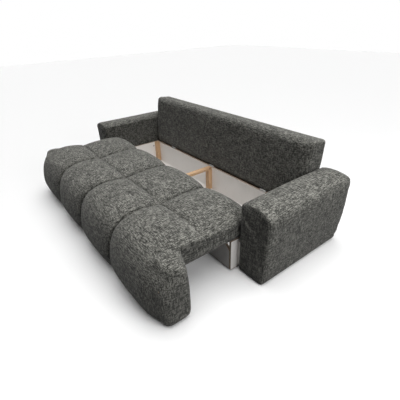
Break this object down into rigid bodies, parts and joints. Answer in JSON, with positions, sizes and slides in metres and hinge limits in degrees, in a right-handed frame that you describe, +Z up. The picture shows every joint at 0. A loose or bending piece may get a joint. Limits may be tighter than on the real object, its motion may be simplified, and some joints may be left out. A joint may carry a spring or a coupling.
{
  "type": "sofa bed",
  "caption": "Sofa bed with padded arms, a tufted seat that rolls forward, an open bedding box and a slab backrest that folds forward to make the bed.",
  "frame": {"origin": "middle of the footprint on the floor, with the seat pulled out", "axes": "+X to the sitter's left along the length (right in a front view), +Y to the back, +Z up"},
  "size_m": [2.4574, 1.5317, 0.7151],
  "materials": {
    "upholstery": "coarse melange chenille weave, matt",
    "lining": "thin black underside cloth",
    "white_laminate": "white melamine on chipboard, satin",
    "white_hardboard": "white painted hardboard",
    "pine": "planed pine, unvarnished",
    "chipboard": "raw chipboard",
    "black_plastic": "moulded, matt",
    "grey_plastic": "moulded, matt",
    "spring_steel": "oiled wire",
    "zinc_steel": "zinc plated"
  },
  "bodies": {
    "base": {"arm_bolts_and_nuts": "zinc_steel", "arm_glides": "black_plastic", "arm_left_base_board": "chipboard", "arm_left_cover": "upholstery", "arm_left_end_boards": "chipboard", "arm_left_inner_panel": "chipboard", "arm_left_top_rail": "chipboard", "arm_right_base_board": "chipboard", "arm_right_cover": "upholstery", "arm_right_end_boards": "chipboard", "arm_right_inner_panel": "chipboard", "arm_right_top_rail": "chipboard", "arm_spacers": "pine", "back_stops": "pine", "box_bottom": "white_hardboard", "box_corner_posts": "pine", "box_front_board": "white_laminate", "box_glides": "black_plastic", "box_left_side": "white_laminate", "box_rear_board": "white_laminate", "box_right_side": "white_laminate", "box_screws": "zinc_steel", "centre_posts": "pine", "centre_rail": "pine", "hinge_box_leaves": "zinc_steel", "hinge_pins": "zinc_steel", "plinth_back_board": "chipboard", "plinth_ribs": "chipboard"},
    "seat": {"castor_axles": "zinc_steel", "castor_forks": "zinc_steel", "roll_base_board": "chipboard", "roll_front_board": "chipboard", "roll_left_end": "upholstery", "roll_rear_pad": "upholstery", "roll_ribs": "chipboard", "roll_right_end": "upholstery", "seat_cross_rails": "pine", "seat_front_tuft_1": "upholstery", "seat_front_tuft_2": "upholstery", "seat_front_tuft_3": "upholstery", "seat_front_tuft_4": "upholstery", "seat_glides": "black_plastic", "seat_lining": "lining", "seat_rear_tuft_1": "upholstery", "seat_rear_tuft_2": "upholstery", "seat_rear_tuft_3": "upholstery", "seat_rear_tuft_4": "upholstery", "seat_side_rails": "pine", "seat_springs": "spring_steel", "seat_stringers": "pine"},
    "backrest": {"back_pad": "upholstery", "back_bottom_rail": "pine", "back_top_rail": "pine", "back_stiles": "pine", "hinge_back_leaves": "zinc_steel", "hinge_back_screws": "zinc_steel"},
    "wheel_1": {"castor_wheel_1": "grey_plastic"},
    "wheel_2": {"castor_wheel_2": "grey_plastic"},
    "wheel_3": {"castor_wheel_3": "grey_plastic"},
    "wheel_4": {"castor_wheel_4": "grey_plastic"}
  },
  "joints": [
    {"name": "seat_slide", "type": "slide", "parent": "base", "child": "seat", "axis": [0, -1, 0], "range_m": [-0.44, 0]},
    {"name": "back_fold", "type": "hinge", "parent": "base", "child": "backrest", "pos_m": [0, 0.5267, 0.2425], "axis": [1, 0, 0], "range_deg": [0, 96]},
    {"name": "wheel_1_spin", "type": "hinge", "parent": "seat", "child": "wheel_1", "pos_m": [-0.78, -0.647, 0.024], "axis": [1, 0, 0], "continuous": true},
    {"name": "wheel_2_spin", "type": "hinge", "parent": "seat", "child": "wheel_2", "pos_m": [-0.26, -0.647, 0.024], "axis": [1, 0, 0], "continuous": true},
    {"name": "wheel_3_spin", "type": "hinge", "parent": "seat", "child": "wheel_3", "pos_m": [0.26, -0.647, 0.024], "axis": [1, 0, 0], "continuous": true},
    {"name": "wheel_4_spin", "type": "hinge", "parent": "seat", "child": "wheel_4", "pos_m": [0.78, -0.647, 0.024], "axis": [1, 0, 0], "continuous": true}
  ]
}
